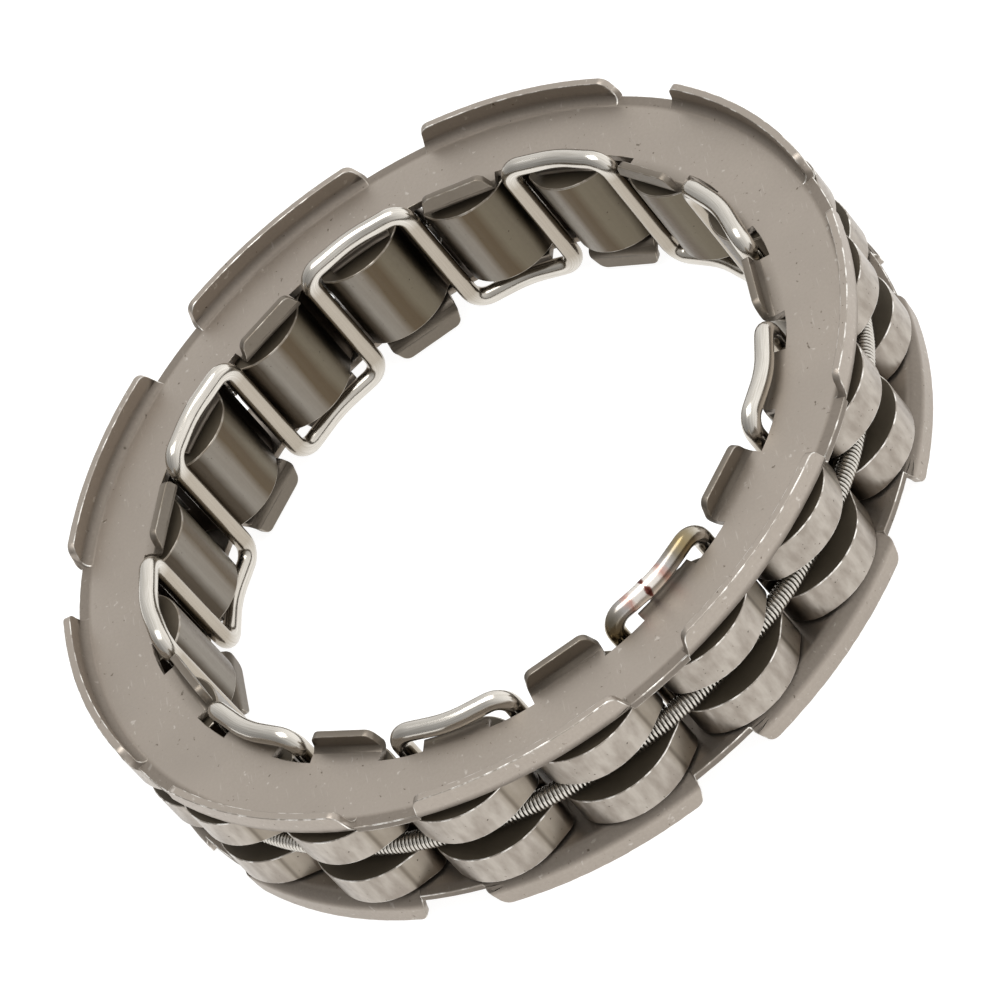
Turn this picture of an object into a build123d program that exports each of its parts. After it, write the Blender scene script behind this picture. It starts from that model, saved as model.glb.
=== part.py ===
from build123d import *
import math
import os

# Sprag cage of a one-way clutch, lying on its rear ring with its axis along +Z.
# It fills the gap between a shaft and a bored housing, which aren't part of it.
# Angles run counter-clockwise seen from the front (+Z). A wire leg stands at angle 0.

# The races that the cage runs between
inner_race_radius = 24.86
outer_race_radius = 33.19

# Numbers of pieces and repeats
lip_count = 9
sprag_count = 2 * lip_count

# Sprags
sprag_length = 7.9
free_drop = 0.32            # an unmounted sprag sits this much inside the inner race surface
free_excess = 0.13          # its height when fully tilted, over the gap between the races
outer_cam_radius = 5.3
inner_cam_radius = 4.3
cam_offset = 0.45           # each cam centre lies this far to its own side of the sprag's middle
outer_head_left = 4.3       # half widths of the heads
outer_head_right = 4.9
inner_head_left = 3.3
inner_head_right = 3.7
facet_start = 3.0           # the cam gives way here to a flat that runs down to the right shoulder
facet_drop_part = 0.222     # the flat's height, as a part of the gap between the races
left_swell_part = 0.162     # the left flank swells out between the heads by this, likewise
right_hollow_part = 0.036   # the right flank is hollow by this, likewise
left_shoulder_part = 0.084  # rounding of the outer head's two ends, likewise
right_shoulder_part = 0.15
foot_radius = 0.28

# Garter spring, in the middle grooves of the sprags
spring_coil_diameter = 1.57
spring_race_clearance = 1.695
groove_side_clearance = 0.3
groove_floor_clearance = 0.5
floor_crest_offset = 1.0    # the crest lies to the right, so the spring's pull tilts the sprag
floor_slope_drop = 1.15
floor_crest_radius = 1.5

# Retaining wire
wire_diameter = 1.25
wire_race_clearance = 0.245
loop_corner_rise = 1.2      # heights of the wire's middle line over the ring's face
loop_middle_rise = 1.15
loop_bow = 0.25             # the middle of a loop lies this much further out than the legs
loop_corner_radius = 1.3
loop_middle_radius = 2.5
weld_bead_height = 0.08
weld_offset = 0.9           # from the loop's middle, along the wire
weld_loop = 5               # counted from the loop beside angle 0

# Side rings: one pressing, used twice
sheet = 0.6
side_clearance = 0.25
ring_race_clearance = 0.69  # from the plain edge between the lips to the outer race
land_overlap = 0.45         # the ring reaches in this far under the loops that hold it
lip_race_clearance = 0.39
lip_rise = 1.85             # over the ring's face
lip_gap_angle = 9.2
lip_end_slant = 18          # degrees that a lip's end leans in over the lip
lip_bend_radius = 0.7       # inside of the bend
lip_heel_radius = 1.1       # outside of the bend
lip_corner_radius = 0.85
tab_race_clearance = 0.14
tab_rise = 1.45
tab_root_width = 6.0
tab_side_slant = 18
tab_bend_radius = 0.4
tab_heel_radius = 1.1
tab_corner_radius = 0.75
notch_depth = 1.02
notch_side_clearance = 1.3

# Places worked out from the sizes above
module_angle = 360 / lip_count
sprag_pitch = 360 / sprag_count
race_gap = outer_race_radius - inner_race_radius
inner_tip_radius = inner_race_radius - free_drop
outer_tip_radius = inner_tip_radius + race_gap + free_excess
pivot_radius = (inner_tip_radius + outer_tip_radius) / 2
spring_ring_radius = outer_race_radius - spring_race_clearance - spring_coil_diameter / 2
wire_radius = wire_diameter / 2
leg_radius = inner_race_radius + wire_race_clearance + wire_radius
ring_inner_radius = leg_radius + wire_radius - land_overlap
notch_radius = ring_inner_radius + notch_depth
notch_half_angle = sprag_pitch / 2 + math.degrees((wire_radius + notch_side_clearance) / leg_radius)
ring_outer_radius = outer_race_radius - ring_race_clearance
lip_outer_radius = outer_race_radius - lip_race_clearance
tab_inner_face = inner_race_radius + tab_race_clearance
sheet_back = sprag_length / 2 + side_clearance
ring_face = sheet_back + sheet
lip_top = ring_face + lip_rise
mid_height = lip_top        # the rear lips' free edges rest on the ground
loop_corner_height = ring_face + loop_corner_rise
loop_middle_height = ring_face + loop_middle_rise
loop_middle_reach = leg_radius + loop_bow


def turned(shape, angle):
    """The shape turned about the clutch's axis."""
    return Rot(0, 0, angle) * shape


def flange_profile(flat_start, convex_face, rise, bend_radius, heel_radius):
    """Section of a sheet that runs flat, then bends up by a right angle to its free edge."""
    outline = make_face(
        Polyline(
            (flat_start, sheet_back),
            (convex_face, sheet_back),
            (convex_face, ring_face + rise),
            (convex_face - sheet, ring_face + rise),
            (convex_face - sheet, ring_face),
            (flat_start, ring_face),
            close=True,
        )
    )
    outer_corner = outline.vertices().sort_by_distance((convex_face, sheet_back))[0]
    outline = fillet(outer_corner, heel_radius)
    inner_corner = outline.vertices().sort_by_distance((convex_face - sheet, ring_face))[0]
    return fillet(inner_corner, bend_radius)


def lean_side(flange, root, outward, slant):
    """Cuts off one end of a flange with a plane through its root that leans in towards the free edge."""
    tilt = math.radians(slant)
    normal = (outward[0] * math.cos(tilt), outward[1] * math.cos(tilt), math.sin(tilt))
    return split(flange, Plane((root[0], root[1], ring_face), z_dir=normal), keep=Keep.BOTTOM)


def round_free_corners(flange, radius):
    """Rounds the two corners at the ends of a flange's free edge."""
    free_edge = flange.faces().sort_by(Axis.Z)[-1]
    return fillet(free_edge.edges().sort_by(SortBy.LENGTH)[:2], radius)


def outer_lip():
    """One lip on the ring's outer edge, centred on angle 0."""
    flat_start = lip_outer_radius - 2 * (sheet + lip_bend_radius)
    profile = flange_profile(flat_start, lip_outer_radius, lip_rise, lip_bend_radius, lip_heel_radius)
    span = module_angle - lip_gap_angle
    lip = revolve(turned(Plane.XZ * profile, -span / 2), Axis.Z, span)
    for side in (-1, 1):
        angle = math.radians(span / 2)
        root = (lip_outer_radius * math.cos(angle), side * lip_outer_radius * math.sin(angle))
        outward = (-math.sin(angle), side * math.cos(angle))
        lip = lean_side(lip, root, outward, lip_end_slant)
    return round_free_corners(lip, lip_corner_radius)


def inner_tab():
    """One flat tab on the ring's inner edge, bent up along a straight line, at angle 0."""
    flat_start = -notch_radius - sheet
    profile = flange_profile(flat_start, -tab_inner_face, tab_rise, tab_bend_radius, tab_heel_radius)
    tab = extrude(Plane.XZ * profile, tab_root_width / 2, both=True)
    for side in (-1, 1):
        tab = lean_side(tab, (-tab_inner_face, side * tab_root_width / 2), (0, side), tab_side_slant)
    return turned(round_free_corners(tab, tab_corner_radius), 180)


def sector(inner_radius, outer_radius, angle):
    """A flat piece of sheet between two radii, centred on angle 0."""
    plate = Plane.XZ * Pos((inner_radius + outer_radius) / 2, (sheet_back + ring_face) / 2) * Rectangle(
        outer_radius - inner_radius, sheet
    )
    return revolve(turned(plate, -angle / 2), Axis.Z, angle)


def pressed_ring():
    """The front ring, about the clutch's middle plane. Its tabs stand half a module pitch from the loops."""
    tab_angle = module_angle - sprag_pitch / 2
    lip_flat_radius = lip_outer_radius - sheet - lip_bend_radius
    ring = sector(ring_inner_radius, lip_flat_radius, 360)
    repeats = range(lip_count)
    notches = [turned(sector(inner_race_radius, notch_radius, 2 * notch_half_angle), tab_angle + module_angle * i)
               for i in repeats]
    ring = ring - notches
    edges = [turned(sector(lip_flat_radius - sheet, ring_outer_radius, lip_gap_angle), module_angle * i)
             for i in repeats]
    lip = outer_lip()
    tab = inner_tab()
    lips = [turned(lip, module_angle * (i + 0.5)) for i in repeats]
    tabs = [turned(tab, tab_angle + module_angle * i) for i in repeats]
    return ring + edges + lips + tabs


def polar_point(radius, angle, height):
    """A point from its distance to the axis, its angle and its height over the middle plane."""
    return (radius * math.cos(math.radians(angle)), radius * math.sin(math.radians(angle)), height)


def wire_repeat():
    """One front loop, one leg, one rear loop and two half legs."""
    points = [
        polar_point(leg_radius, 0, 0),
        polar_point(leg_radius, 0, loop_corner_height),
        polar_point(loop_middle_reach, sprag_pitch / 2, loop_middle_height),
        polar_point(leg_radius, sprag_pitch, loop_corner_height),
        polar_point(leg_radius, sprag_pitch, -loop_corner_height),
        polar_point(loop_middle_reach, 3 * sprag_pitch / 2, -loop_middle_height),
        polar_point(leg_radius, 2 * sprag_pitch, -loop_corner_height),
        polar_point(leg_radius, 2 * sprag_pitch, 0),
    ]
    loop_radii = [loop_corner_radius, loop_middle_radius, loop_corner_radius]
    middle_line = FilletPolyline(*points, radius=loop_radii + loop_radii)
    return sweep(Pos(leg_radius, 0, 0) * Circle(wire_radius), path=middle_line)


def weld_bead():
    """The butt weld's bead, a little way down from a front loop's middle."""
    middle = Vector(*polar_point(loop_middle_reach, sprag_pitch / 2, loop_middle_height))
    corner = Vector(*polar_point(leg_radius, 0, loop_corner_height))
    place = middle + (corner - middle).normalized() * weld_offset
    return Pos(place) * Sphere(wire_radius + weld_bead_height)


def retaining_wire():
    """The whole meander, closed by a butt weld on one front loop."""
    wire = wire_repeat()
    repeats = [turned(wire, module_angle * i) for i in range(1, lip_count)]
    return wire + repeats + turned(weld_bead(), module_angle * weld_loop)


def garter_spring():
    """The closed coil's envelope."""
    return Torus(spring_ring_radius, spring_coil_diameter / 2)


def cam_height(center_x, center_y, radius, x):
    """Height of the upper side of a cam circle at x; a negative radius gives the lower side."""
    return center_y + math.copysign(math.sqrt(radius**2 - (x - center_x) ** 2), radius)


def sprag_outline():
    """Section of a sprag: x along the ring, y outwards, from the point that it tilts about."""
    outer_tip = outer_tip_radius - pivot_radius
    inner_tip = inner_tip_radius - pivot_radius
    outer_center = (-cam_offset, outer_tip - outer_cam_radius)
    inner_center = (cam_offset, inner_tip + inner_cam_radius)
    left_top = (-outer_head_left, cam_height(*outer_center, outer_cam_radius, -outer_head_left))
    facet_top = (facet_start, cam_height(*outer_center, outer_cam_radius, facet_start))
    right_top = (outer_head_right, facet_top[1] - facet_drop_part * race_gap)
    left_foot = (-inner_head_left, cam_height(*inner_center, -inner_cam_radius, -inner_head_left))
    right_foot = (inner_head_right, cam_height(*inner_center, -inner_cam_radius, inner_head_right))
    left_belly = (
        -(outer_head_left + inner_head_left) / 2 - left_swell_part * race_gap,
        (left_top[1] + left_foot[1]) / 2,
    )
    right_waist = (
        (outer_head_right + inner_head_right) / 2 - right_hollow_part * race_gap,
        (right_top[1] + right_foot[1]) / 2,
    )
    section = make_face(
        [
            ThreePointArc(left_top, (-cam_offset, outer_tip), facet_top),
            Line(facet_top, right_top),
            ThreePointArc(right_top, right_waist, right_foot),
            ThreePointArc(right_foot, (cam_offset, inner_tip), left_foot),
            ThreePointArc(left_foot, left_belly, left_top),
        ]
    )
    for corner, part in ((left_top, left_shoulder_part), (right_top, right_shoulder_part)):
        section = fillet(section.vertices().sort_by_distance(corner)[0], part * race_gap)
    feet = [section.vertices().sort_by_distance(p)[0] for p in (left_foot, right_foot)]
    return fillet(feet, foot_radius)


def groove_outline():
    """What the spring's groove takes out of a sprag. Its floor has a crest that the spring bears on."""
    crest = spring_ring_radius - spring_coil_diameter / 2 - groove_floor_clearance - pivot_radius
    side = 2 * outer_head_right
    top = outer_cam_radius
    region = make_face(
        Polyline(
            (floor_crest_offset, crest),
            (floor_crest_offset + side, crest - floor_slope_drop * side / outer_head_right),
            (floor_crest_offset + side, top),
            (floor_crest_offset - side, top),
            (floor_crest_offset - side, crest - floor_slope_drop * side / outer_head_right),
            close=True,
        )
    )
    crest_corner = region.vertices().sort_by_distance((floor_crest_offset, crest))[0]
    return fillet(crest_corner, floor_crest_radius)


def sprag():
    """One sprag at angle 0, about the clutch's middle plane."""
    half_groove = spring_coil_diameter / 2 + groove_side_clearance
    body = extrude(sprag_outline(), sprag_length / 2, both=True)
    groove = extrude(groove_outline(), half_groove, both=True)
    return Pos(pivot_radius, 0, 0) * Rot(0, 0, -90) * mirror(body - groove, Plane.YZ)


def write(shape, name):
    """Sets a piece at its height over the ground and writes it to its own file."""
    placed = Pos(0, 0, mid_height) * shape
    solid = placed.solids()[0]
    solid.label = name
    export_step(solid, os.path.join("parts", name + ".step"))


def main():
    os.makedirs("parts", exist_ok=True)
    front_ring = pressed_ring()
    write(front_ring, "front_side_ring")
    write(mirror(mirror(front_ring, Plane.XY), Plane.XZ), "rear_side_ring")
    write(retaining_wire(), "retaining_wire")
    write(garter_spring(), "garter_spring")
    one_sprag = sprag()
    for i in range(sprag_count):
        write(turned(one_sprag, sprag_pitch * (i + 0.5)), f"sprag_{i + 1:02d}")


main()
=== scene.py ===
import math

import bmesh
import bpy
import numpy as np
from mathutils import Matrix, Vector


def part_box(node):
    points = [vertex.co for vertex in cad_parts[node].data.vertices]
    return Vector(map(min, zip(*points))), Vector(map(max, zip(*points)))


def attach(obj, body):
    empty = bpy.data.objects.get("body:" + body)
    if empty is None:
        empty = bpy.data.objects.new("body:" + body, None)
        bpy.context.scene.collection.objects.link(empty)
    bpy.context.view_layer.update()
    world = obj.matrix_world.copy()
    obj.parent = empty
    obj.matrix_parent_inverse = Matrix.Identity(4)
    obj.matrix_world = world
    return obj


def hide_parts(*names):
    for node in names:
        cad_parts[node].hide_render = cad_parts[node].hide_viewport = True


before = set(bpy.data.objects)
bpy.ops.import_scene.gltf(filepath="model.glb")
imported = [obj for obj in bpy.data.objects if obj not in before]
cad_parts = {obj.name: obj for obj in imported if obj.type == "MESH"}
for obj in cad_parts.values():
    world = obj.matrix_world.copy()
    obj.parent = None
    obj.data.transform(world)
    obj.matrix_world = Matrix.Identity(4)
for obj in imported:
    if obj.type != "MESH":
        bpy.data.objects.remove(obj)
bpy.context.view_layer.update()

# Everything is in metres. Sizes are given in millimetres and turned to metres by MM.
MM = 0.001

# The clutch's own sizes
LIP_COUNT = 9
SPRAG_COUNT = 18
MID_HEIGHT = 6.65 * MM
PIVOT_RADIUS = 28.77 * MM
SPRAG_LENGTH = 7.9 * MM

# Retaining wire. Radii are to its middle line, and heights are over the clutch's middle plane.
WIRE_DIAMETER = 1.45 * MM
LEG_RADIUS = 25.73 * MM
LOOP_REACH = 26.05 * MM
CORNER_HEIGHT = 5.9 * MM
MIDDLE_HEIGHT = 5.85 * MM
REAR_HEIGHT = 5.62 * MM     # the rear loops lie closer on their ring than the front ones
CORNER_BEND = 1.3 * MM
MIDDLE_BEND = 9 * MM
WELD_BEAD = 0.04 * MM
WELD_OFFSET = 0.9 * MM
WELD_LENGTH = 0.7 * MM
WELD_LOOP = 5
BEND_POINTS = 9
WIRE_STEP = 0.22 * MM
WIRE_SIDES = 20

# Garter spring: a fine wire in turns that nearly touch
COIL_TURNS = 620
COIL_WIRE = 0.25 * MM
TURN_POINTS = 14
COIL_SIDES = 7

# Worn edges of the pressings and of the sprags, whose inner ends are rounded most
RING_EDGE = 0.07 * MM
SPRAG_EDGE = 0.08 * MM
INNER_END_EDGE = 0.12 * MM
INNER_END = PIVOT_RADIUS - 2 * MM
END_REACH = 0.05 * MM       # an edge this close to a sprag's end belongs to it
SHARP = math.radians(32)
LIES_FLAT = 0.7             # the least height of a cut end's unit normal

# What is taken as one when a solid's triangles are joined
SAME_POINT = 0.002 * MM
SAME_FACE = math.radians(0.4)

# Where a lip's and a tab's inside meet the ring's face, as distances to the axis and heights over the middle
LIP_CREASE = (32.2 * MM, 4.8 * MM, 0)
TAB_CREASE = (25.6 * MM, 4.8 * MM, 0)
TAB_ROOT = 26.6 * MM
ROOT_REACH = 0.3 * MM       # how far over and under the crease a tab's root reaches

# Sizes of the marks in the finishes
SATIN_GRAIN = 0.25 * MM     # tumbling marks are about 0.05 mm, drawn coarser so that they show
MOTTLE = 7 * MM
SPECK = 0.45 * MM
NICK = 0.6 * MM
SCRATCH_WIDTH = 0.16 * MM   # real ones are about 0.03 mm, drawn coarser so that they show
BURR_LENGTH = 0.9 * MM
DRAW_LINE = 0.22 * MM       # draw lines are about 0.05 mm apart, drawn coarser so that they show
OXIDE_CLOUD = 1.8 * MM
SMUDGE = 1.1 * MM
HAIR_LINE = 0.1 * MM        # polishing lines are about 0.02 mm, drawn coarser so that they show
HEAT_SMEAR = 0.6 * MM
STRIPE_PLACE = 3.0 * MM     # where the outer cam's flat begins
STRIPE_WIDTH = 0.32 * MM

# Real depths of the reliefs
TUMBLED_DEPTH = 0.0012 * MM
BURR_DEPTH = 0.05 * MM
HAIR_DEPTH = 0.0015 * MM
COIL_DEPTH = 0.0005 * MM

# Marks that a noise draws: the span of noise over which a mark comes in, and its strength where it isn't 1
GRAIN = {"From Min": 0.3, "From Max": 0.7, "To Min": 0.0, "To Max": 0.22}
PITS = {"From Min": 0.69, "From Max": 0.74}
NICKS = {"From Min": 0.68, "From Max": 0.73}
SCRATCHES = {"From Min": 0.725, "From Max": 0.8}
SCRATCH_STRENGTH = 0.5
BURRS = {"From Min": 0.46, "From Max": 0.62}
SMUDGES = {"From Min": 0.36, "From Max": 0.64}
DRAW_LINES = {"From Min": 0.35, "From Max": 0.7, "To Min": 0.0, "To Max": 0.14}
HAIR_LINES = {"From Min": 0.35, "From Max": 0.7, "To Min": 0.0, "To Max": 0.35}

# Noises are stretched along the marks, and the two sets of scratches are turned apart
FIRST_SCRATCHES = {"Rotation": (0, 0, 0.7), "Scale": (0.09, 1.0, 1.0)}
SECOND_SCRATCHES = {"Rotation": (0, 0, 2.0), "Scale": (0.07, 1.0, 1.0)}
CLOUD_STRETCH = {"Scale": (1.0, 1.0, 0.4)}
DRAW_STRETCH = {"Scale": (1.0, 1.0, 0.04)}
HAIR_STRETCH = {"Scale": (0.04, 1.0, 1.0)}

# Bands of the pressings, over distances to the axis or to a crease: nicks outwards, painted shade inwards and
# in the creases
HANDLED = {"From Min": 31.3 * MM, "From Max": 32.3 * MM, "To Min": 0.0, "To Max": 0.015}
FACE_BORE_SHADE = {"From Min": 25.1 * MM, "From Max": 27.0 * MM, "To Min": 0.9, "To Max": 0.0}
EDGE_BORE_SHADE = {"From Min": 27.5 * MM, "From Max": 29.0 * MM, "To Min": 0.75, "To Max": 0.0}
LIP_SHADE = {"From Min": 0.5 * MM, "From Max": 0.85 * MM, "To Min": 0.45, "To Max": 0.0}
TAB_SHADE = {"From Min": 0.3 * MM, "From Max": 0.6 * MM, "To Min": 0.55, "To Max": 0.0}

# Bands of a sprag, over places across it or outwards from its pivot
CAM_FLAT = {"From Min": STRIPE_PLACE - 0.6 * MM, "From Max": STRIPE_PLACE, "To Min": 0.0, "To Max": 0.7}
STRIPE = {"From Min": 0.1 * STRIPE_WIDTH, "From Max": 0.6 * STRIPE_WIDTH, "To Min": 0.7, "To Max": 0.0}
OUTER_CAM = {"From Min": 0.6 * MM, "From Max": 2.4 * MM}
INNER_CAM = {"From Min": -1.2 * MM, "From Max": -2.6 * MM}
INNER_WIDTH = {"From Min": -3.0 * MM, "From Max": 3.0 * MM}
INNER_WANDER = 0.6 * MM

# Painted shade and painted reflection across an inner cam, from one flank to the other: dark at both flanks,
# grey and brown bands between
INNER_SHADE_BANDS = [(0.05, "#332c22"), (0.18, "#6a6254"), (0.36, "#6c6455"), (0.48, "#584c3c"), (0.62, "#5c5040"),
               (0.73, "#817a70"), (0.9, "#868077"), (1.0, "#4a4238")]

# Bands of the wire: the legs' brown film and painted shade fade towards the loops, and heat reached this far
# from the weld
LEG_FILM_AND_SHADE = {"From Min": 4.2 * MM, "From Max": 5.4 * MM, "To Min": 0.75, "To Max": 0.0}
HEATED = {"From Min": 0.25 * MM, "From Max": 6.25 * MM}
HEAT_WANDER = 0.7 * MM
UNHEATED = {"From Min": 0.8, "From Max": 1.0}

# Heat tints on the wire, from the weld outwards; the near-white silver stops are a painted highlight
HEAT_TINTS_AND_HIGHLIGHT = [(0.0, "#4a2622"), (0.03, "#7c4a41"), (0.055, "#f3ece4"), (0.2, "#f0e8df"), (0.27, "#c9a094"),
              (0.36, "#b3aeaa"), (0.52, "#8b8271"), (0.68, "#958460"), (0.84, "#8f8570"), (1.0, "#d0c9bf")]

# Roughness of the finishes, over their noises
STRIP_ROUGHNESS = {"From Min": 0.3, "From Max": 0.7, "To Min": 0.4, "To Max": 0.47}
CREASE_ROUGHNESS = 1.0
EDGE_ROUGHNESS = {"From Min": 0.0, "From Max": 1.0, "To Min": 0.48, "To Max": 0.28}
CAM_ROUGHNESS = {"From Min": 0.3, "From Max": 0.7, "To Min": 0.3, "To Max": 0.4}
OXIDE_ROUGHNESS = 0.55
WIRE_ROUGHNESS = {"From Min": 0.0, "From Max": 0.9, "To Min": 0.3, "To Max": 0.2}
COIL_ROUGHNESS = {"From Min": 0.3, "From Max": 0.7, "To Min": 0.22, "To Max": 0.3}

# How bare the metal is from a cam to a cut end, which keeps its oxide
BARENESS = {"From Min": 0.0, "From Max": 1.0, "To Min": 1.0, "To Max": 0.35}

# Camera, as the photograph was taken
CAMERA_TARGET = (-1.389 * MM, -0.533 * MM, 6.65 * MM)
CAMERA_DISTANCE = 497.98 * MM
CAMERA_AZIMUTH = -160.225
CAMERA_ELEVATION = 40.762
CAMERA_ROLL = -41.148
CAMERA_LENS = 246.37

# The room's light, brightest on the wall to the right of the clutch, with a soft light over the light table
BRIGHT_WALL = -65
ROOM_BRIGHT = 1.32
ROOM_DIM = 0.28
OVERHEAD_ELEVATION = 88
OVERHEAD_DISTANCE = 1.2
OVERHEAD_SIZE = 0.8
OVERHEAD_POWER = 7
TABLE_HALF = 3.0
TABLE_GLOW = 0.9


def linear(hex_colour):
    """An sRGB hex colour as linear red, green and blue, with full alpha.

    A channel c becomes c / 12.92 up to 0.04045, and ((c + 0.055) / 1.055) to the power 2.4 above that.
    """
    channels = np.array([int(hex_colour[i:i + 2], 16) for i in (1, 3, 5)]) / 255
    low = channels / 12.92
    high = ((channels + 0.055) / 1.055) ** 2.4
    return (*np.where(channels <= 0.04045, low, high).tolist(), 1.0)


def node(tree, kind, inputs, output=None, stops=(), **settings):
    """Adds one shader node with its settings and links, and gives the output asked for, or the first in use.

    An input is a value, a hex colour, or another node's output to link from. Stops are the places and colours
    of a ramp, in order.
    """
    made = tree.nodes.new("ShaderNode" + kind)
    for name, value in settings.items():
        setattr(made, name, value)
    for number, (place, colour) in enumerate(stops):
        elements = made.color_ramp.elements
        if number == 0:
            elements.remove(elements[1])
        element = elements.new(place) if number else elements[0]
        element.position = place
        element.color = linear(colour)
    for socket, value in inputs.items():
        if isinstance(value, bpy.types.NodeSocket):
            tree.links.new(value, made.inputs[socket])
        else:
            made.inputs[socket].default_value = linear(value) if isinstance(value, str) else value
    in_use = [each for each in made.outputs if each.enabled]
    return made.outputs[output] if output else next(iter(in_use), None)


def new_material(name):
    """An empty node material and the tree to fill."""
    material = bpy.data.materials.new(name)
    material.use_nodes = True
    material.node_tree.nodes.clear()
    return material, material.node_tree


def bare_metal(tree, colour, roughness, height, depth, bare=1.0):
    """Ends a material as bare metal.

    Colour, roughness and height are outputs, and depth is the relief's real depth. Bare falls below 1 where
    an oxide covers the metal.
    """
    normal = node(tree, "Bump", {"Strength": 1.0, "Distance": depth, "Height": height})
    metal = node(tree, "BsdfPrincipled",
                 {"Base Color": colour, "Metallic": bare, "Roughness": roughness, "Normal": normal})
    node(tree, "OutputMaterial", {"Surface": metal})


def distance_to_axis(tree, place):
    """How far a place is from the clutch's axis."""
    flat = node(tree, "VectorMath", {0: place, 1: (1, 1, 0)}, operation="MULTIPLY")
    return node(tree, "VectorMath", {0: flat}, operation="LENGTH")


def distance_to_middle(tree, place):
    """How far a place is from the clutch's middle plane."""
    height = node(tree, "SeparateXYZ", {0: place}, "Z")
    height = node(tree, "Math", {0: height, 1: MID_HEIGHT}, operation="SUBTRACT")
    return node(tree, "Math", {0: height}, operation="ABSOLUTE")


def pits(tree, place):
    """Small pits where scale was knocked out: 0 on the face, 1 in a pit."""
    speck = node(tree, "TexNoise", {"Vector": place, "Scale": 1 / SPECK, "Detail": 4.0})
    return node(tree, "MapRange", {"Value": speck, **PITS})


def pressed_steel():
    """Cold-rolled strip steel, pressed to shape and then tumbled with stones.

    Tumbling leaves an even satin, so the eye gets a soft warm grey without a grain direction, with a faint
    mottle, a few dark pits where scale was knocked out, hair-fine scratches, and nicks that handling leaves
    mostly near the lips. The creases of the lips and tabs are darkened as painted shade, and a brown painted
    shade darkens the bore side: the tabs and the face under the wire.
    """
    material, tree = new_material("tumbled_pressed_steel")
    place = node(tree, "TexCoord", {}, "Object")
    radius = distance_to_axis(tree, place)
    mottle = node(tree, "TexNoise", {"Vector": place, "Scale": 1 / MOTTLE, "Detail": 3.0})
    satin = node(tree, "TexNoise", {"Vector": place, "Scale": 1 / SATIN_GRAIN, "Detail": 2.0})
    pit = pits(tree, place)
    along = node(tree, "Mapping", {"Vector": place, **FIRST_SCRATCHES})
    scratch = node(tree, "TexNoise", {"Vector": along, "Scale": 1 / SCRATCH_WIDTH, "Detail": 1.0})
    across = node(tree, "Mapping", {"Vector": place, **SECOND_SCRATCHES})
    other = node(tree, "TexNoise", {"Vector": across, "Scale": 1 / SCRATCH_WIDTH, "Detail": 1.0})
    scratch = node(tree, "Math", {0: scratch, 1: other}, operation="MAXIMUM")
    scratch = node(tree, "MapRange", {"Value": scratch, **SCRATCHES})
    scratch = node(tree, "Math", {0: scratch, 1: mottle}, operation="MULTIPLY")
    nick = node(tree, "TexNoise", {"Vector": place, "Scale": 1 / NICK, "Detail": 3.0, "Distortion": 0.4})
    handled = node(tree, "MapRange", {"Value": radius, **HANDLED})
    nick = node(tree, "Math", {0: nick, 1: handled}, operation="ADD")
    nick = node(tree, "MapRange", {"Value": nick, **NICKS})
    bright = node(tree, "Math", {0: scratch, 1: nick}, operation="MAXIMUM")
    bright = node(tree, "Math", {0: bright, 1: SCRATCH_STRENGTH}, operation="MULTIPLY")
    grain = node(tree, "MapRange", {"Value": satin, **GRAIN})
    # Painted shade: darker towards the bore, over the tabs and the face under the wire
    bore_shade = node(tree, "MapRange", {"Value": radius, **FACE_BORE_SHADE})
    section = node(tree, "CombineXYZ", {0: radius, 1: distance_to_middle(tree, place)})
    crease = node(tree, "VectorMath", {0: section, 1: LIP_CREASE}, operation="DISTANCE")
    other = node(tree, "VectorMath", {0: section, 1: TAB_CREASE}, operation="DISTANCE")
    crease = node(tree, "MapRange", {"Value": crease, **LIP_SHADE})
    other = node(tree, "MapRange", {"Value": other, **TAB_SHADE})
    crease = node(tree, "Math", {0: crease, 1: other}, operation="MAXIMUM")
    colour = node(tree, "Mix", {"Factor": mottle, "A": "#a1988e", "B": "#b1a79c"}, data_type="RGBA")
    colour = node(tree, "Mix", {"Factor": grain, "A": colour, "B": "#9a9188"}, data_type="RGBA")
    colour = node(tree, "Mix", {"Factor": pit, "A": colour, "B": "#6f665b"}, data_type="RGBA")
    colour = node(tree, "Mix", {"Factor": bright, "A": colour, "B": "#d6d0c8"}, data_type="RGBA")
    # Brown painted shade towards the bore
    colour = node(tree, "Mix", {"Factor": bore_shade, "A": colour, "B": "#6e665b"}, data_type="RGBA")
    # Painted shade in the creases of the lips and tabs
    colour = node(tree, "Mix", {"Factor": crease, "A": colour, "B": "#5a5248"}, data_type="RGBA")
    rough = node(tree, "MapRange", {"Value": satin, **STRIP_ROUGHNESS})
    rough = node(tree, "Mix", {"Factor": crease, "A": rough, "B": CREASE_ROUGHNESS})
    relief = node(tree, "Math", {0: satin, 1: pit}, operation="SUBTRACT")
    bare_metal(tree, colour, rough, relief, TUMBLED_DEPTH)
    return material


def worn_edge():
    """Steel edge worn bright by the tumbling, broken where the cut was rough, and darkened near the bore as
    painted shade.

    The eye gets a thin ragged line that is lighter and glossier than the faces on both sides: its near-white
    colour is a painted highlight.
    """
    material, tree = new_material("worn_bright_edge_painted_highlight_and_shade")
    place = node(tree, "TexCoord", {}, "Object")
    burr = node(tree, "TexNoise", {"Vector": place, "Scale": 1 / BURR_LENGTH, "Detail": 3.0})
    worn_and_highlight = node(tree, "MapRange", {"Value": burr, **BURRS})
    # Painted shade on the edges near the bore
    bore_shade = node(tree, "MapRange", {"Value": distance_to_axis(tree, place), **EDGE_BORE_SHADE})
    # Near white where worn: real wear brightened into a painted highlight
    colour = node(tree, "Mix", {"Factor": worn_and_highlight, "A": "#a39b91", "B": "#f4f0e9"}, data_type="RGBA")
    colour = node(tree, "Mix", {"Factor": bore_shade, "A": colour, "B": "#857b6d"}, data_type="RGBA")
    rough = node(tree, "MapRange", {"Value": worn_and_highlight, **EDGE_ROUGHNESS})
    bare_metal(tree, colour, rough, burr, BURR_DEPTH)
    return material


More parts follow.
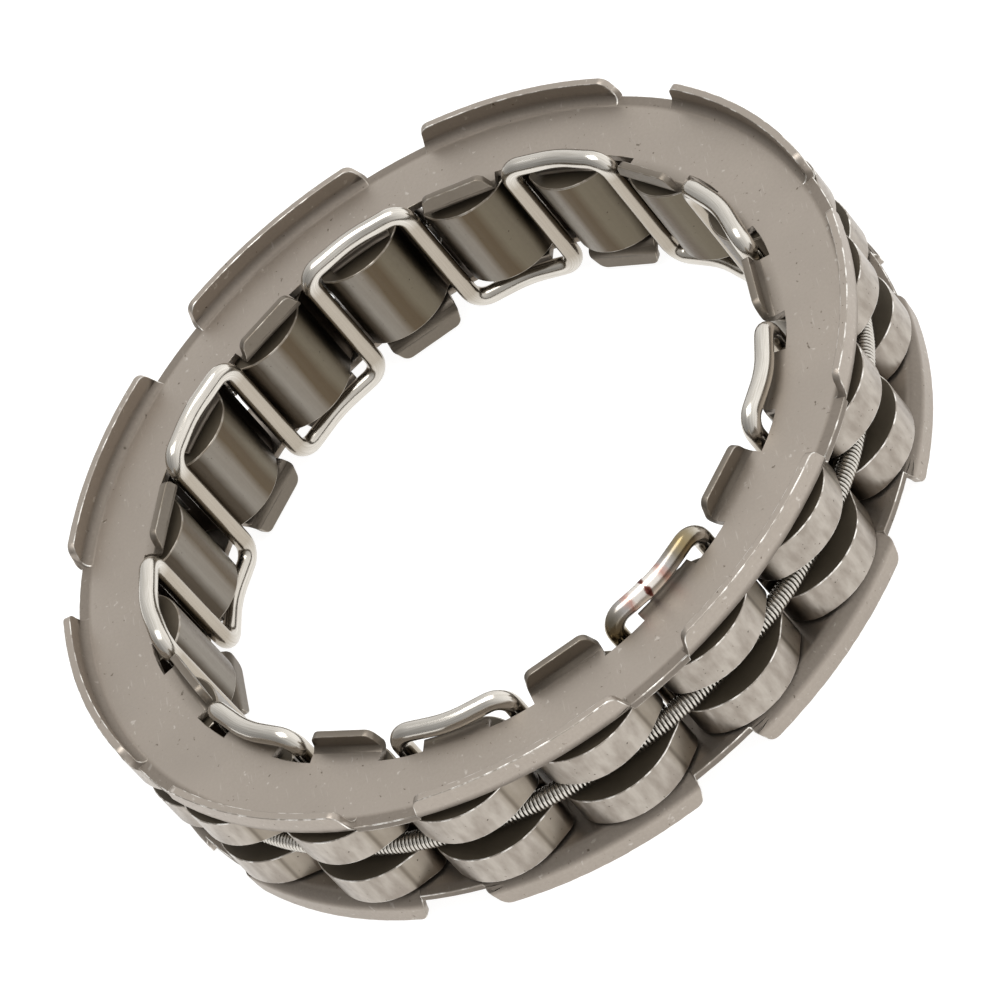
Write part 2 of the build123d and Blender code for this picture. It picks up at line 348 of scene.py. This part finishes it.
def sprag_steel():
    """Hardened chrome bearing steel, drawn to the sprag's section, cut to length, hardened and tumbled.

    The cams are satin grey with draw lines and smudges along the axis, and a dark stripe where the outer
    cam's flat begins. The cut ends keep the brown oxide of the hardening. The flanks are darkened as painted
    shade, and the inner cams carry grey and brown bands of painted reflection and shade, darkest at both
    flanks.
    """
    material, tree = new_material("hardened_sprag_steel")
    place = node(tree, "Attribute", {}, "Vector", attribute_name="sprag_place")
    end_face = node(tree, "Attribute", {}, "Fac", attribute_name="end_face")
    across = node(tree, "SeparateXYZ", {0: place}, "X")
    radial = node(tree, "SeparateXYZ", {0: place}, "Y")
    satin = node(tree, "TexNoise", {"Vector": place, "Scale": 1 / SATIN_GRAIN, "Detail": 2.0})
    tall = node(tree, "Mapping", {"Vector": place, **CLOUD_STRETCH})
    cloud = node(tree, "TexNoise", {"Vector": tall, "Scale": 1 / OXIDE_CLOUD, "Detail": 3.0})
    smudge = node(tree, "TexNoise", {"Vector": tall, "Scale": 1 / SMUDGE, "Detail": 4.0})
    smudge = node(tree, "MapRange", {"Value": smudge, **SMUDGES})
    drawn = node(tree, "Mapping", {"Vector": place, **DRAW_STRETCH})
    drawn = node(tree, "TexNoise", {"Vector": drawn, "Scale": 1 / DRAW_LINE, "Detail": 2.0})
    line = node(tree, "MapRange", {"Value": drawn, **DRAW_LINES})
    flat = node(tree, "MapRange", {"Value": across, **CAM_FLAT})
    stripe = node(tree, "Math", {0: across, 1: STRIPE_PLACE}, operation="SUBTRACT")
    stripe = node(tree, "Math", {0: stripe}, operation="ABSOLUTE")
    stripe = node(tree, "MapRange", {"Value": stripe, **STRIPE})
    outer = node(tree, "Mix", {"Factor": smudge, "A": "#958c82", "B": "#b4aca2"}, data_type="RGBA")
    outer = node(tree, "Mix", {"Factor": flat, "A": outer, "B": "#8d8374"}, data_type="RGBA")
    outer = node(tree, "Mix", {"Factor": line, "A": outer, "B": "#988f85"}, data_type="RGBA")
    outer = node(tree, "Mix", {"Factor": stripe, "A": outer, "B": "#655c51"}, data_type="RGBA")
    band = node(tree, "Math", {0: cloud, 1: INNER_WANDER, 2: across}, operation="MULTIPLY_ADD")
    band = node(tree, "MapRange", {"Value": band, **INNER_WIDTH})
    # Painted reflection and shade bands across the inner cam
    band = node(tree, "ValToRGB", {"Fac": band}, stops=INNER_SHADE_BANDS)
    inner = node(tree, "Mix", {"Factor": line, "A": band, "B": "#5f564b"}, data_type="RGBA")
    outwards = node(tree, "MapRange", {"Value": radial, **OUTER_CAM})
    inwards = node(tree, "MapRange", {"Value": radial, **INNER_CAM})
    # Flanks darkened as painted shade between the sprags
    flank_shade = node(tree, "Mix", {"Factor": cloud, "A": "#5a5046", "B": "#6d6257"}, data_type="RGBA")
    brown = node(tree, "Mix", {"Factor": cloud, "A": "#4a4235", "B": "#5a5143"}, data_type="RGBA")
    colour = node(tree, "Mix", {"Factor": outwards, "A": flank_shade, "B": outer}, data_type="RGBA")
    colour = node(tree, "Mix", {"Factor": inwards, "A": colour, "B": inner}, data_type="RGBA")
    colour = node(tree, "Mix", {"Factor": end_face, "A": colour, "B": brown}, data_type="RGBA")
    colour = node(tree, "Mix", {"Factor": pits(tree, place), "A": colour, "B": "#4a4138"}, data_type="RGBA")
    rough = node(tree, "MapRange", {"Value": satin, **CAM_ROUGHNESS})
    rough = node(tree, "Mix", {"Factor": end_face, "A": rough, "B": OXIDE_ROUGHNESS})
    relief = node(tree, "Math", {0: drawn, 1: satin}, operation="ADD")
    bare = node(tree, "MapRange", {"Value": end_face, **BARENESS})
    bare_metal(tree, colour, rough, relief, TUMBLED_DEPTH, bare)
    return material


def drawn_wire():
    """Hard-drawn spring wire, polished, bent to the meander and closed with one butt weld.

    The eye gets a near mirror with hair lines along the wire, brighter on the loops than on the legs, where a
    brown drawing film stays and painted shade darkens them. Heat has tinted it each side of the weld: dark
    red at the joint, then silver drawn near white as a painted highlight, rose, blue grey and straw, as
    thinner oxide follows thicker.
    """
    material, tree = new_material("polished_drawn_spring_wire")
    place = node(tree, "TexCoord", {}, "Object")
    line = node(tree, "Attribute", {}, "Vector", attribute_name="wire_place")
    weld = node(tree, "Attribute", {}, "Fac", attribute_name="weld_distance")
    along = node(tree, "Mapping", {"Vector": line, **HAIR_STRETCH})
    hair = node(tree, "TexNoise", {"Vector": along, "Scale": 1 / HAIR_LINE, "Detail": 2.0})
    faint = node(tree, "MapRange", {"Value": hair, **HAIR_LINES})
    # Brown film on the legs, darkened further as painted shade
    film_and_shade = node(tree, "MapRange", {"Value": distance_to_middle(tree, place), **LEG_FILM_AND_SHADE})
    steel = node(tree, "Mix", {"Factor": faint, "A": "#dad5cc", "B": "#9a9083"}, data_type="RGBA")
    steel = node(tree, "Mix", {"Factor": film_and_shade, "A": steel, "B": "#9b9080"}, data_type="RGBA")
    smear = node(tree, "TexNoise", {"Vector": line, "Scale": 1 / HEAT_SMEAR, "Detail": 3.0})
    heat = node(tree, "Math", {0: smear, 1: HEAT_WANDER, 2: weld}, operation="MULTIPLY_ADD")
    heat = node(tree, "MapRange", {"Value": heat, **HEATED})
    # Heat tints, with the silver drawn near white as a painted highlight
    tint_and_highlight = node(tree, "ValToRGB", {"Fac": heat}, stops=HEAT_TINTS_AND_HIGHLIGHT)
    clean = node(tree, "MapRange", {"Value": heat, **UNHEATED})
    colour = node(tree, "Mix", {"Factor": clean, "A": tint_and_highlight, "B": steel}, data_type="RGBA")
    rough = node(tree, "MapRange", {"Value": heat, **WIRE_ROUGHNESS})
    bare_metal(tree, colour, rough, hair, HAIR_DEPTH)
    return material


def coil_wire():
    """Fine music wire, wound close.

    The eye gets bright rings with dark between them, a little uneven in tone.
    """
    material, tree = new_material("close_wound_music_wire")
    place = node(tree, "TexCoord", {}, "Object")
    uneven = node(tree, "TexNoise", {"Vector": place, "Scale": 1 / MOTTLE, "Detail": 3.0})
    colour = node(tree, "Mix", {"Factor": uneven, "A": "#d2cec6", "B": "#bfb9b0"}, data_type="RGBA")
    rough = node(tree, "MapRange", {"Value": uneven, **COIL_ROUGHNESS})
    bare_metal(tree, colour, rough, uneven, COIL_DEPTH)
    return material


def light_table():
    """Sanded opal acrylic, lit from below: the eye gets an even white without gloss, and hardly a shadow."""
    material, tree = new_material("opal_acrylic_light_table")
    acrylic = node(tree, "BsdfPrincipled",
                   {"Base Color": "#949494", "Roughness": 0.9, "Specular IOR Level": 0.1,
                    "Emission Color": "#ffffff", "Emission Strength": TABLE_GLOW})
    node(tree, "OutputMaterial", {"Surface": acrylic})
    return material


def grid_mesh(name, points):
    """A mesh of quads over a grid of points (rows, columns, 3) that closes on itself both ways.

    Vertex (i, j) has index i * columns + j, and each quad joins it to i + 1 and j + 1, modulo the counts.
    """
    rows, columns = points.shape[:2]
    i, j = np.arange(rows)[:, None], np.arange(columns)[None, :]
    next_i, next_j = (i + 1) % rows, (j + 1) % columns
    corners = [i * columns + j, next_i * columns + j, next_i * columns + next_j, i * columns + next_j]
    quads = np.stack(corners, axis=-1).reshape(-1, 4)
    mesh = bpy.data.meshes.new(name)
    mesh.vertices.add(rows * columns)
    mesh.vertices.foreach_set("co", points.reshape(-1).astype(np.float32))
    mesh.loops.add(quads.size)
    mesh.loops.foreach_set("vertex_index", quads.reshape(-1).astype(np.int32))
    mesh.polygons.add(len(quads))
    mesh.polygons.foreach_set("loop_start", np.arange(0, quads.size, 4, dtype=np.int32))
    mesh.update(calc_edges=True)
    mesh.polygons.foreach_set("use_smooth", np.ones(len(quads), dtype=bool))
    return mesh


def tube(centres, outward, radii, sides):
    """Points of a tube round a closed line.

    At each centre the section is radius * (cos a * n + sin a * b), where n is the outward direction made
    square to the line, and b is square to both.
    """
    tangent = np.roll(centres, -1, axis=0) - np.roll(centres, 1, axis=0)
    tangent /= np.linalg.norm(tangent, axis=1, keepdims=True)
    n = outward - np.sum(outward * tangent, axis=1, keepdims=True) * tangent
    n /= np.linalg.norm(n, axis=1, keepdims=True)
    b = np.cross(tangent, n)
    angle = np.linspace(0, 2 * np.pi, sides, endpoint=False)
    ring = np.cos(angle)[None, :, None] * n[:, None, :] + np.sin(angle)[None, :, None] * b[:, None, :]
    return centres[:, None, :] + radii[:, None, None] * ring


def polar(radius, degrees, height):
    """Points from their distances to the axis, angles and heights over the middle plane."""
    angle = np.radians(degrees)
    return np.stack([radius * np.cos(angle), radius * np.sin(angle), height + MID_HEIGHT], axis=-1)


def rounded_line(points, bend, steps):
    """A closed line through straight runs and round bends.

    With a and b the directions from a corner to its neighbours, and t the angle between them, the bend's
    centre lies at r / sin(t / 2) along a + b, and the bend starts r / tan(t / 2) before the corner.
    """
    a = np.roll(points, 1, axis=0) - points
    b = np.roll(points, -1, axis=0) - points
    a /= np.linalg.norm(a, axis=1, keepdims=True)
    b /= np.linalg.norm(b, axis=1, keepdims=True)
    half = np.arccos(np.sum(a * b, axis=1)) / 2
    middle = (a + b) / np.linalg.norm(a + b, axis=1, keepdims=True)
    centre = points + middle * (bend / np.sin(half))[:, None]
    start = points + a * (bend / np.tan(half))[:, None]
    spoke = (start - centre) / bend[:, None]
    turn = np.linspace(0, 1, steps)[None, :] * (np.pi - 2 * half)[:, None]
    line = (centre[:, None, :] + bend[:, None, None]
            * (np.cos(turn)[..., None] * spoke[:, None, :] - np.sin(turn)[..., None] * a[:, None, :]))
    return line.reshape(-1, 3)


def even_line(line, spacing):
    """The closed line again, with points at even distances, and its length."""
    closed = np.vstack([line, line[:1]])
    travelled = np.concatenate([[0], np.cumsum(np.linalg.norm(np.diff(closed, axis=0), axis=1))])
    count = int(travelled[-1] / spacing)
    at = np.linspace(0, travelled[-1], count, endpoint=False)
    return np.stack([np.interp(at, travelled, closed[:, k]) for k in range(3)], axis=-1), travelled[-1]


def place_attribute(mesh, name, kind, values, domain="POINT"):
    """Stores numbers on the mesh for its material to read."""
    attribute = mesh.attributes.new(name, kind, domain)
    key = "vector" if kind == "FLOAT_VECTOR" else "value"
    attribute.data.foreach_set(key, np.ascontiguousarray(values, dtype=np.float32).reshape(-1))


def add_object(name, data):
    """Links a new object at the origin."""
    made = bpy.data.objects.new(name, data)
    bpy.context.scene.collection.objects.link(made)
    return made


def add_piece(name, mesh, material, body, slot, *replaced):
    """Adds a piece at the origin, gives it its material and body, and hides what it stands for. The slot is
    not used.
    """
    piece = add_object(name, mesh)
    mesh.materials.clear()
    mesh.materials.append(material)
    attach(piece, body)
    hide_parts(*replaced)
    return piece


def build_wire(material):
    """The meander: 18 legs along the axis, joined by loops over the front and under the rear ring.

    At a distance s from the weld along the wire, its radius is half the diameter plus the bead's height times
    e to the power -(s / half the bead's length)^4.
    """
    half_pitch = 180 / SPRAG_COUNT
    # A front loop and a rear loop, corner by corner: half pitches from the start, radius, height and bend
    steps, reach, height, bend = np.array([
        (0, LEG_RADIUS, CORNER_HEIGHT, CORNER_BEND),
        (1, LOOP_REACH, MIDDLE_HEIGHT, MIDDLE_BEND),
        (2, LEG_RADIUS, CORNER_HEIGHT, CORNER_BEND),
        (2, LEG_RADIUS, -REAR_HEIGHT, CORNER_BEND),
        (3, LOOP_REACH, -REAR_HEIGHT, MIDDLE_BEND),
        (4, LEG_RADIUS, -REAR_HEIGHT, CORNER_BEND),
    ]).T
    start = np.arange(LIP_COUNT) * 360 / LIP_COUNT
    angles = start[:, None] + steps[None, :] * half_pitch
    corners = polar(np.broadcast_to(reach, angles.shape), angles, np.broadcast_to(height, angles.shape))
    line = rounded_line(corners.reshape(-1, 3), np.tile(bend, LIP_COUNT), BEND_POINTS)
    centres, length = even_line(line, WIRE_STEP)
    first_leg = polar(LEG_RADIUS, WELD_LOOP * 360 / LIP_COUNT, CORNER_HEIGHT)
    middle = polar(LOOP_REACH, WELD_LOOP * 360 / LIP_COUNT + half_pitch, MIDDLE_HEIGHT)
    weld = middle + (first_leg - middle) / np.linalg.norm(first_leg - middle) * WELD_OFFSET
    nearest = np.argmin(np.linalg.norm(centres - weld, axis=1))
    along = (np.arange(len(centres)) - nearest) * length / len(centres)
    along = (along + length / 2) % length - length / 2
    radii = WIRE_DIAMETER / 2 + WELD_BEAD * np.exp(-(along / (WELD_LENGTH / 2)) ** 4)
    outward = centres * np.array([1, 1, 0])
    mesh = grid_mesh("retaining_wire_round", tube(centres, outward, radii, WIRE_SIDES))
    around = np.linspace(0, 2 * np.pi, WIRE_SIDES, endpoint=False)[None, :]
    place = np.stack(np.broadcast_arrays(
        along[:, None], np.cos(around) * WIRE_DIAMETER / 2, np.sin(around) * WIRE_DIAMETER / 2), axis=-1)
    place_attribute(mesh, "wire_place", "FLOAT_VECTOR", place)
    place_attribute(mesh, "weld_distance", "FLOAT", np.repeat(np.abs(along), WIRE_SIDES))
    add_piece("retaining_wire_round", mesh, material, "cage", "spring_wire", "retaining_wire")


def build_spring(material):
    """The garter spring's turns: a helix of small radius wound round the clutch's axis.

    With q the turn's own angle, the wire's centre lies at (R + c cos q) outwards and c sin q up.
    """
    low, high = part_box("garter_spring")
    coil = high[2] - low[2]
    ring = high[0] - coil / 2
    small = (coil - COIL_WIRE) / 2
    step = np.arange(COIL_TURNS * TURN_POINTS)
    theta = step * 2 * np.pi / len(step)
    q = theta * COIL_TURNS
    out = np.stack([np.cos(theta), np.sin(theta), np.zeros_like(theta)], axis=-1)
    up = np.array([0, 0, 1.0])
    spoke = np.cos(q)[:, None] * out + np.sin(q)[:, None] * up
    centres = ring * out + small * spoke + up * (low[2] + high[2]) / 2
    radii = np.full(len(step), COIL_WIRE / 2)
    mesh = grid_mesh("garter_spring_turns", tube(centres, spoke, radii, COIL_SIDES))
    add_piece("garter_spring_turns", mesh, material, "cage", "spring_coil", "garter_spring")


def worn_copy(node_name, wear, widest, material, edge_material, body, slot):
    """A copy of a solid with its triangles joined and its sharp edges rounded by wear.

    Wear gives the rounding's width from an edge's middle, and widest is the largest that it gives. The
    roundings have the edge material.
    """
    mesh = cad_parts[node_name].data.copy()
    mesh.name = node_name + "_worn"
    joined = bmesh.new()
    joined.from_mesh(mesh)
    bmesh.ops.remove_doubles(joined, verts=joined.verts, dist=SAME_POINT)
    bmesh.ops.dissolve_limit(joined, angle_limit=SAME_FACE, verts=joined.verts, edges=joined.edges)
    weight = joined.edges.layers.float.new("bevel_weight_edge")
    for edge in joined.edges:
        if edge.is_manifold and edge.is_convex and edge.calc_face_angle() > SHARP:
            edge[weight] = wear((edge.verts[0].co + edge.verts[1].co) / 2) / widest
    joined.to_mesh(mesh)
    joined.free()
    mesh.polygons.foreach_set("use_smooth", np.ones(len(mesh.polygons), dtype=bool))
    piece = add_piece(node_name + "_worn", mesh, material, body, slot, node_name)
    mesh.materials.append(edge_material)
    bevel = piece.modifiers.new("worn edges", "BEVEL")
    bevel.width = widest
    bevel.segments = 3
    bevel.limit_method = "WEIGHT"
    bevel.use_clamp_overlap = False   # clamped, the shortest edge would thin every bevel
    bevel.loop_slide = False
    bevel.material = 1
    weighted = piece.modifiers.new("flat faces", "WEIGHTED_NORMAL")
    weighted.keep_sharp = True
    return piece


def ring_wear(middle):
    """The pressings are tumbled alike, but for the short edges at the tabs' roots, which stay sharp."""
    from_crease = abs(abs(middle.z - MID_HEIGHT) - TAB_CREASE[1])
    at_root = math.hypot(middle.x, middle.y) < TAB_ROOT and from_crease < ROOT_REACH
    return 0.0 if at_root else RING_EDGE


def sprag_wear(middle):
    """A sprag's inner end edges are rounded more than its other edges."""
    inner = math.hypot(middle.x, middle.y) < INNER_END
    at_end = abs(middle.z - MID_HEIGHT) > SPRAG_LENGTH / 2 - END_REACH
    return INNER_END_EDGE if inner and at_end else SPRAG_EDGE


def mark_sprag(mesh, degrees):
    """Gives a sprag its own coordinates and marks its cut ends.

    With a the sprag's angle round the clutch, across is y cos a - x sin a, and outwards is x cos a + y sin a
    less the pivot's radius. A cut end is a face whose normal lies along the clutch's axis.
    """
    points = np.empty(len(mesh.vertices) * 3, dtype=np.float32)
    mesh.vertices.foreach_get("co", points)
    x, y, z = points.reshape(-1, 3).T
    cos, sin = math.cos(math.radians(degrees)), math.sin(math.radians(degrees))
    place = np.stack([y * cos - x * sin, x * cos + y * sin - PIVOT_RADIUS, z - MID_HEIGHT], axis=-1)
    place_attribute(mesh, "sprag_place", "FLOAT_VECTOR", place)
    normals = np.empty(len(mesh.polygons) * 3, dtype=np.float32)
    mesh.polygons.foreach_get("normal", normals)
    place_attribute(mesh, "end_face", "FLOAT", np.abs(normals.reshape(-1, 3)[:, 2]) > LIES_FLAT, "FACE")


def direction(azimuth, elevation):
    """The unit vector from the clutch to what stands at an azimuth and an elevation, both in degrees."""
    a, e = math.radians(azimuth), math.radians(elevation)
    return Vector((math.cos(a) * math.cos(e), math.sin(a) * math.cos(e), math.sin(e)))


def add_camera():
    """The camera at the photograph's viewing angle."""
    data = bpy.data.cameras.new("camera")
    data.lens = CAMERA_LENS
    data.sensor_width = 36
    data.clip_start = 0.01
    data.clip_end = 20
    camera = add_object("camera", data)
    back = direction(CAMERA_AZIMUTH, CAMERA_ELEVATION)
    a, r = math.radians(CAMERA_AZIMUTH), math.radians(CAMERA_ROLL)
    level_right = Vector((-math.sin(a), math.cos(a), 0))
    level_up = back.cross(level_right)
    right = math.cos(r) * level_right + math.sin(r) * level_up
    up = back.cross(right)
    turn = Matrix((right, up, back)).transposed()
    camera.matrix_world = Matrix.Translation(Vector(CAMERA_TARGET) + back * CAMERA_DISTANCE) @ turn.to_4x4()
    bpy.context.scene.camera = camera


def add_table():
    """The light table that the clutch lies on."""
    mesh = bpy.data.meshes.new("floor")
    corners = [(-TABLE_HALF, -TABLE_HALF, 0), (TABLE_HALF, -TABLE_HALF, 0),
               (TABLE_HALF, TABLE_HALF, 0), (-TABLE_HALF, TABLE_HALF, 0)]
    mesh.from_pydata(corners, [], [(0, 1, 2, 3)])
    mesh.materials.append(light_table())
    floor = add_object("floor", mesh)


def add_room():
    """A pale room that is brightest on the right: its light goes with the cosine towards the bright wall."""
    world = bpy.data.worlds.new("room")
    bpy.context.scene.world = world
    world.use_nodes = True
    tree = world.node_tree
    tree.nodes.clear()
    wall = math.radians(BRIGHT_WALL)
    looked_at = node(tree, "TexCoord", {}, "Object")
    towards = node(tree, "VectorMath", {0: looked_at, 1: (math.cos(wall), math.sin(wall), 0)},
                   operation="DOT_PRODUCT")
    light = node(tree, "MapRange", {"Value": towards, "From Min": -1.0, "From Max": 1.0,
                                    "To Min": ROOM_DIM, "To Max": ROOM_BRIGHT})
    room = node(tree, "Background", {"Color": "#ffffff", "Strength": light})
    node(tree, "OutputWorld", {"Surface": room})


def add_overhead():
    """A square soft light over the clutch."""
    data = bpy.data.lights.new("overhead", "AREA")
    data.size = OVERHEAD_SIZE
    data.energy = OVERHEAD_POWER
    light = add_object("overhead", data)
    away = direction(0, OVERHEAD_ELEVATION)
    light.location = away * OVERHEAD_DISTANCE
    light.rotation_euler = away.to_track_quat("Z", "Y").to_euler()


add_camera()
add_table()
add_room()
add_overhead()
bpy.context.scene.view_settings.view_transform = "Standard"
strip_finish, sprag_finish, edge_finish = pressed_steel(), sprag_steel(), worn_edge()
build_wire(drawn_wire())
build_spring(coil_wire())
for ring_name in ("front_side_ring", "rear_side_ring"):
    worn_copy(ring_name, ring_wear, RING_EDGE, strip_finish, edge_finish, "cage", "pressed_steel")
for number in range(1, SPRAG_COUNT + 1):
    sprag_name = f"sprag_{number:02d}"
    sprag = worn_copy(sprag_name, sprag_wear, INNER_END_EDGE, sprag_finish, edge_finish,
                      sprag_name, "sprag_steel")
    mark_sprag(sprag.data, (number - 0.5) * 360 / SPRAG_COUNT)
